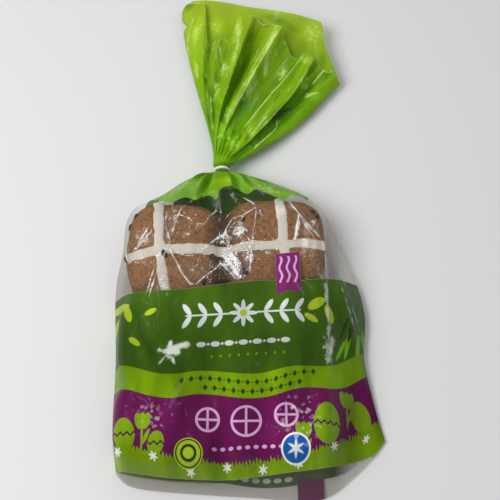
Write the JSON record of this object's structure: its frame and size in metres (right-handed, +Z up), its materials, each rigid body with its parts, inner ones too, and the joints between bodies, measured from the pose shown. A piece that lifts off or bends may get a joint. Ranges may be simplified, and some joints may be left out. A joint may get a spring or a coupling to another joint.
{
  "type": "bag of hot cross buns",
  "caption": "Tied film bag of hot cross buns lying on its back, crosses up, with a clear window, a wide printed band, a gathered neck in a thin tie and a loose fanned end.",
  "frame": {"origin": "middle of the pack's footprint box, on the surface that it lies on", "axes": "+Z up, away from the surface; +Y along the pack from its folded bottom to its open mouth; +X across it"},
  "size_m": [0.19, 0.4014, 0.043],
  "materials": {
    "film": "glossy clear film with green and purple print",
    "tie_plastic": "satin",
    "crust": "matt browned bread crust",
    "paste": "matt pale flour paste",
    "fruit": "dark wrinkled dried fruit"
  },
  "bodies": {
    "root": {"bag": "film", "tie": "tie_plastic"}
  },
  "joints": []
}
